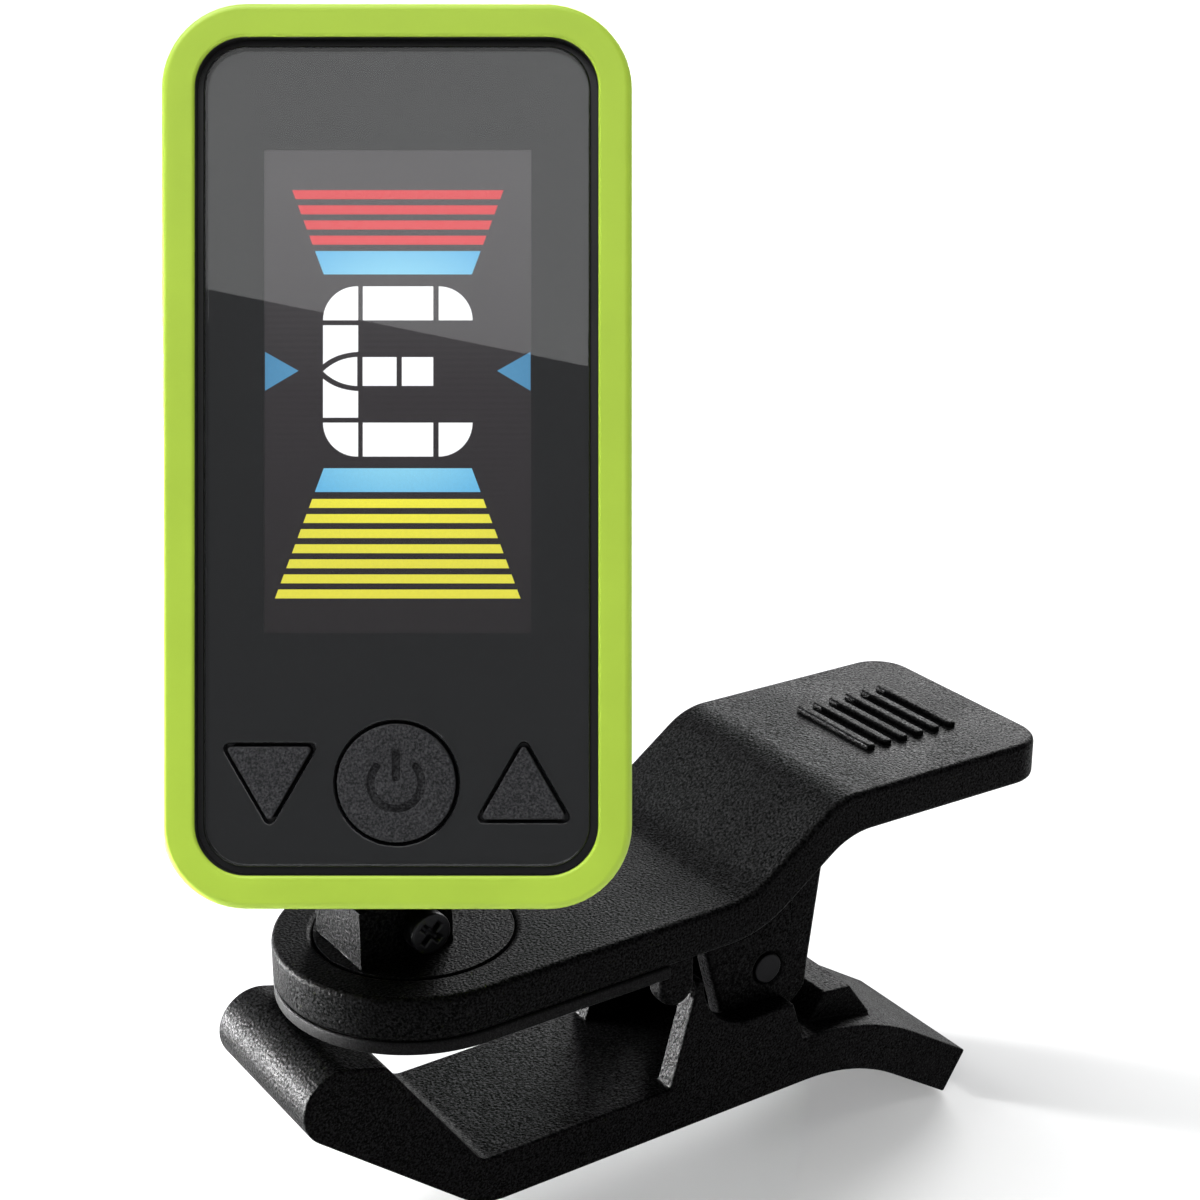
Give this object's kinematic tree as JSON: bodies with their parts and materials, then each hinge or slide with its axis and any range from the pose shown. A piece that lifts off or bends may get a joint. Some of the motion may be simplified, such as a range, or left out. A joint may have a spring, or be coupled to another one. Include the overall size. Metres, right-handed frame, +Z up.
{
  "type": "clip on tuner",
  "caption": "Tuner with a tall framed display head on a swivel, tilt and pan neck, on a sprung clip that grips the headstock of a stringed instrument.",
  "frame": {"origin": "centre of the gripping face of the rubber pad under the upper arm, straight under the swivel axis", "axes": "+X along the clip towards the finger handle, +Y across the clip, +Z up along the swivel axis, out of the top of the arm"},
  "size_m": [0.0686, 0.0387, 0.0877],
  "materials": {
    "arm_plastic": "fine spark-eroded grain, satin",
    "jaw_plastic": "fine spark-eroded grain, satin",
    "neck_plastic": "fine spark-eroded grain, satin",
    "shell_plastic": "fine spark-eroded grain, satin",
    "pad_rubber": "matt",
    "rim_green": "satin, smooth",
    "lens_clear": "polished, clear",
    "mask_print": "black print behind the lens",
    "lcd_glass": "polished",
    "light_guide": "milky",
    "frame_plastic": "moulded",
    "board_laminate": "solder mask",
    "chip_resin": "moulded",
    "button_rubber": "fine grain, matt",
    "screw_steel": "black oxide",
    "pin_steel": "black oxide",
    "bright_steel": "bright zinc",
    "spring_wire": "drawn wire",
    "dome_steel": "polished",
    "contact_brass": "plated",
    "cell_steel": "brushed"
  },
  "bodies": {
    "lower_clip": {"lower_jaw": "jaw_plastic"},
    "upper_clip": {"upper_arm": "arm_plastic", "upper_pad": "pad_rubber", "hinge_pin": "pin_steel", "torsion_spring": "spring_wire"},
    "swivel": {"swivel_base": "neck_plastic", "swivel_washer": "bright_steel", "swivel_screw": "bright_steel", "tilt_screw": "screw_steel", "tilt_nut": "screw_steel"},
    "knuckle": {"tilt_knuckle": "neck_plastic"},
    "head": {"rear_shell": "shell_plastic", "neck_cap": "neck_plastic", "neck_screws": "screw_steel", "front_bezel": "rim_green", "inner_frame": "frame_plastic", "display_lens": "lens_clear", "lens_mask": "mask_print", "lcd_panel": "lcd_glass", "backlight": "light_guide", "main_board": "board_laminate", "board_chips": "chip_resin", "switch_domes": "dome_steel", "piezo_disc": "contact_brass", "battery": "cell_steel", "positive_contact": "contact_brass", "negative_contact": "contact_brass", "case_screws": "screw_steel"},
    "door": {"battery_door": "shell_plastic"},
    "power_key": {"power_button": "button_rubber"},
    "down_key": {"down_button": "button_rubber"},
    "up_key": {"up_button": "button_rubber"}
  },
  "joints": [
    {"name": "clip_open", "type": "hinge", "parent": "lower_clip", "child": "upper_clip", "pos_m": [0.0277, 0, -0.0058], "axis": [0, 1, 0], "range_deg": [0, 28], "stiffness_Nm_per_rad": 0.5, "springref_deg": -22.92, "deforming": ["torsion_spring"]},
    {"name": "disc_swivel", "type": "hinge", "parent": "upper_clip", "child": "swivel", "pos_m": [0, 0, 0.00425], "axis": [0, 0, 1], "continuous": true},
    {"name": "head_tilt", "type": "hinge", "parent": "swivel", "child": "knuckle", "pos_m": [-0.00115, 0, 0.00615], "axis": [0, 1, 0], "range_deg": [-3, 20]},
    {"name": "head_pan", "type": "hinge", "parent": "knuckle", "child": "head", "pos_m": [0, 0, 0.012], "axis": [0, 0, 1], "range_deg": [-56, 56]},
    {"name": "battery_door_twist", "type": "hinge", "parent": "head", "child": "door", "pos_m": [0.00469, 0.00703, 0.0416], "axis": [0.5162, 0.7741, -0.3665], "range_deg": [0, 35]},
    {"name": "power_press", "type": "slide", "parent": "head", "child": "power_key", "axis": [0.5162, 0.7741, -0.3665], "range_m": [0, 0.0005], "stiffness_N_per_m": 1200, "springref_m": -0.0006},
    {"name": "down_press", "type": "slide", "parent": "head", "child": "down_key", "axis": [0.5162, 0.7741, -0.3665], "range_m": [0, 0.0005], "stiffness_N_per_m": 1200, "springref_m": -0.0006},
    {"name": "up_press", "type": "slide", "parent": "head", "child": "up_key", "axis": [0.5162, 0.7741, -0.3665], "range_m": [0, 0.0005], "stiffness_N_per_m": 1200, "springref_m": -0.0006}
  ]
}
